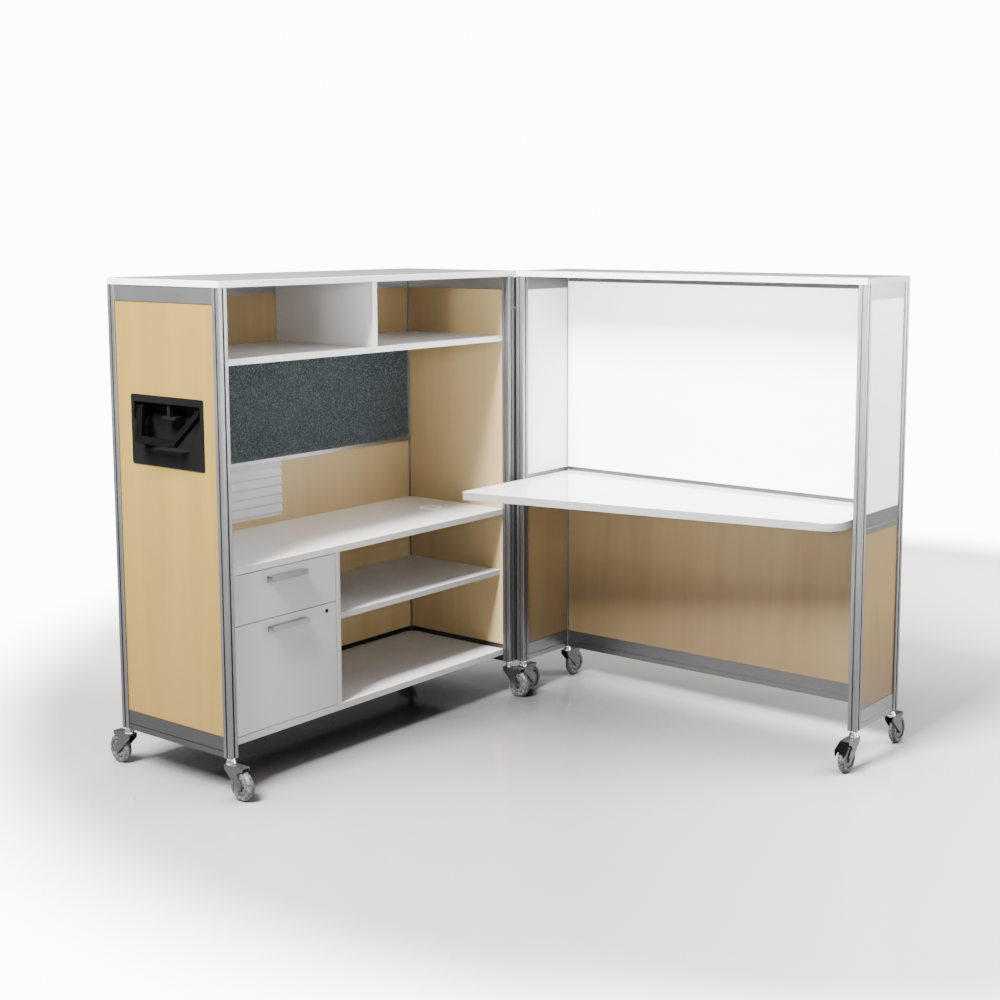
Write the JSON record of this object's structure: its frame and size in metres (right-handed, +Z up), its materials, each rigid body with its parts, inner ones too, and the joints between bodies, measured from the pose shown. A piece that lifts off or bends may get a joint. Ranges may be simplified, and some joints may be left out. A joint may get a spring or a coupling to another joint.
{
  "type": "cubicle workstation",
  "caption": "Folding cubicle workstation on casters: storage cabinet with drawers and tackboard, hinged at a right angle to a desk cabinet with tapered worktop and whiteboard.",
  "frame": {"origin": "On the floor, at the middle of the whole outline seen from above, in the pictured pose.", "axes": "+Z up; the storage cabinet's open front faces -Y and the desk cabinet's open front faces -X."},
  "size_m": [1.7226, 1.8738, 1.483],
  "materials": {
    "extrusion": "satin anodised",
    "wood_panel": "matte maple laminate",
    "white_laminate": "glossy white laminate on board",
    "whiteboard": "glossy enamel",
    "pale_panel": "satin pale laminate",
    "tack_fabric": "woven fabric",
    "drawer_front": "satin laminate",
    "drawer_box": "pale board",
    "pale_plastic": "matte moulded",
    "black_plastic": "fine grained",
    "caster_tread": "matte mottled grey",
    "zinc_sheet": "zinc plated",
    "chrome": "polished",
    "hinge_steel": "black oxide"
  },
  "bodies": {
    "storage_cabinet": {"storage_posts": "extrusion", "storage_end_rails": "extrusion", "storage_back_rails": "extrusion", "storage_left_panel": "wood_panel", "storage_right_panel": "wood_panel", "storage_back_panels": "wood_panel", "tackboard": "tack_fabric", "storage_top": "white_laminate", "upper_shelf": "white_laminate", "shelf_divider": "white_laminate", "counter": "white_laminate", "middle_shelf": "white_laminate", "bottom_shelf": "white_laminate", "pedestal_sides": "white_laminate", "drawer_runners": "zinc_sheet", "cable_grommet": "pale_plastic", "grommet_cap": "pale_plastic", "slat_tile": "pale_plastic", "handle_dish": "black_plastic", "storage_caster_stems": "chrome", "hinge_leaf_storage": "hinge_steel", "hinge_pin": "hinge_steel"},
    "top_drawer": {"top_drawer_front": "drawer_front", "top_drawer_box": "drawer_box", "top_drawer_pull": "extrusion", "top_drawer_slides": "zinc_sheet"},
    "file_drawer": {"file_drawer_front": "drawer_front", "file_drawer_box": "drawer_box", "file_drawer_pull": "extrusion", "file_drawer_slides": "zinc_sheet"},
    "lock": {"lock_plug": "chrome"},
    "bail": {"bail_handle": "black_plastic"},
    "desk_cabinet": {"desk_posts": "extrusion", "desk_end_rails": "extrusion", "desk_back_rails": "extrusion", "whiteboard": "whiteboard", "desk_upper_panels": "pale_panel", "desk_lower_panels": "wood_panel", "desk_top": "white_laminate", "worktop": "white_laminate", "worktop_brackets": "zinc_sheet", "desk_caster_stems": "chrome", "hinge_leaf_desk": "hinge_steel"},
    "pedal": {"brake_pedal": "black_plastic"},
    "storage_front_left_caster": {"storage_front_left_fork": "zinc_sheet"},
    "storage_front_left_wheel_body": {"storage_front_left_wheel": "caster_tread"},
    "storage_front_right_caster": {"storage_front_right_fork": "zinc_sheet"},
    "storage_front_right_wheel_body": {"storage_front_right_wheel": "caster_tread"},
    "storage_back_left_caster": {"storage_back_left_fork": "zinc_sheet"},
    "storage_back_left_wheel_body": {"storage_back_left_wheel": "caster_tread"},
    "storage_back_right_caster": {"storage_back_right_fork": "zinc_sheet"},
    "storage_back_right_wheel_body": {"storage_back_right_wheel": "caster_tread"},
    "desk_front_left_caster": {"desk_front_left_fork": "zinc_sheet"},
    "desk_front_left_wheel_body": {"desk_front_left_wheel": "caster_tread"},
    "desk_front_right_caster": {"desk_front_right_fork": "zinc_sheet"},
    "desk_front_right_wheel_body": {"desk_front_right_wheel": "caster_tread"},
    "desk_back_left_caster": {"desk_back_left_fork": "zinc_sheet"},
    "desk_back_left_wheel_body": {"desk_back_left_wheel": "caster_tread"},
    "desk_back_right_caster": {"desk_back_right_fork": "zinc_sheet"},
    "desk_back_right_wheel_body": {"desk_back_right_wheel": "caster_tread"}
  },
  "joints": [
    {"name": "desk_fold", "type": "hinge", "parent": "storage_cabinet", "child": "desk_cabinet", "pos_m": [0.49406, 0.3725, 0.7905], "axis": [0, 0, 1], "range_deg": [-90, 0]},
    {"name": "top_drawer_slide", "type": "slide", "parent": "storage_cabinet", "child": "top_drawer", "axis": [0, -1, 0], "range_m": [0, 0.35]},
    {"name": "file_drawer_slide", "type": "slide", "parent": "storage_cabinet", "child": "file_drawer", "axis": [0, -1, 0], "range_m": [0, 0.35]},
    {"name": "lock_turn", "type": "hinge", "parent": "file_drawer", "child": "lock", "pos_m": [-0.39364, 0.4029, 0.468], "axis": [0, 1, 0], "range_deg": [0, 90]},
    {"name": "bail_swing", "type": "hinge", "parent": "storage_cabinet", "child": "bail", "pos_m": [-0.79714, 0.6119, 1.1085], "axis": [0, 1, 0], "range_deg": [-31, 59]},
    {"name": "storage_front_left_swivel", "type": "hinge", "parent": "storage_cabinet", "child": "storage_front_left_caster", "pos_m": [-0.79914, 0.3879, 0.1], "axis": [0, 0, 1], "range_deg": [-90, 0]},
    {"name": "storage_front_left_roll", "type": "hinge", "parent": "storage_front_left_caster", "child": "storage_front_left_wheel_body", "pos_m": [-0.79914, 0.3429, 0.044], "axis": [1, 0, 0], "continuous": true},
    {"name": "storage_front_right_swivel", "type": "hinge", "parent": "storage_cabinet", "child": "storage_front_right_caster", "pos_m": [0.47586, 0.3879, 0.1], "axis": [0, 0, 1], "range_deg": [-90, 0]},
    {"name": "storage_front_right_roll", "type": "hinge", "parent": "storage_front_right_caster", "child": "storage_front_right_wheel_body", "pos_m": [0.47586, 0.3429, 0.044], "axis": [1, 0, 0], "continuous": true},
    {"name": "storage_back_left_swivel", "type": "hinge", "parent": "storage_cabinet", "child": "storage_back_left_caster", "pos_m": [-0.79914, 0.8479, 0.1], "axis": [0, 0, 1], "continuous": true},
    {"name": "storage_back_left_roll", "type": "hinge", "parent": "storage_back_left_caster", "child": "storage_back_left_wheel_body", "pos_m": [-0.79914, 0.8929, 0.044], "axis": [-1, 0, 0], "continuous": true},
    {"name": "storage_back_right_swivel", "type": "hinge", "parent": "storage_cabinet", "child": "storage_back_right_caster", "pos_m": [0.47586, 0.8479, 0.1], "axis": [0, 0, 1], "continuous": true},
    {"name": "storage_back_right_roll", "type": "hinge", "parent": "storage_back_right_caster", "child": "storage_back_right_wheel_body", "pos_m": [0.47586, 0.8929, 0.044], "axis": [-1, 0, 0], "continuous": true},
    {"name": "desk_front_left_swivel", "type": "hinge", "parent": "desk_cabinet", "child": "desk_front_left_caster", "pos_m": [0.51226, 0.3543, 0.1], "axis": [0, 0, 1], "range_deg": [0, 90]},
    {"name": "desk_front_left_roll", "type": "hinge", "parent": "desk_front_left_caster", "child": "desk_front_left_wheel_body", "pos_m": [0.55726, 0.3543, 0.044], "axis": [0, 1, 0], "continuous": true},
    {"name": "desk_front_right_swivel", "type": "hinge", "parent": "desk_cabinet", "child": "desk_front_right_caster", "pos_m": [0.51226, -0.9207, 0.1], "axis": [0, 0, 1], "range_deg": [0, 180]},
    {"name": "desk_front_right_roll", "type": "hinge", "parent": "desk_front_right_caster", "child": "desk_front_right_wheel_body", "pos_m": [0.46726, -0.9207, 0.044], "axis": [0, -1, 0], "continuous": true},
    {"name": "desk_back_left_swivel", "type": "hinge", "parent": "desk_cabinet", "child": "desk_back_left_caster", "pos_m": [0.77226, 0.3543, 0.1], "axis": [0, 0, 1], "continuous": true},
    {"name": "desk_back_left_roll", "type": "hinge", "parent": "desk_back_left_caster", "child": "desk_back_left_wheel_body", "pos_m": [0.81726, 0.3543, 0.044], "axis": [0, 1, 0], "continuous": true},
    {"name": "desk_back_right_swivel", "type": "hinge", "parent": "desk_cabinet", "child": "desk_back_right_caster", "pos_m": [0.77226, -0.9207, 0.1], "axis": [0, 0, 1], "continuous": true},
    {"name": "desk_back_right_roll", "type": "hinge", "parent": "desk_back_right_caster", "child": "desk_back_right_wheel_body", "pos_m": [0.81726, -0.9207, 0.044], "axis": [0, 1, 0], "continuous": true},
    {"name": "pedal_press", "type": "hinge", "parent": "desk_front_right_caster", "child": "pedal", "pos_m": [0.45676, -0.9207, 0.0927], "axis": [0, -1, 0], "range_deg": [0, 12]}
  ],
  "couplings": [
    {"joint": "storage_front_left_swivel", "follows": "desk_fold", "ratio": 1},
    {"joint": "storage_front_right_swivel", "follows": "desk_fold", "ratio": 1},
    {"joint": "desk_front_left_swivel", "follows": "desk_fold", "ratio": -1},
    {"joint": "desk_front_right_swivel", "follows": "desk_fold", "ratio": -2}
  ]
}
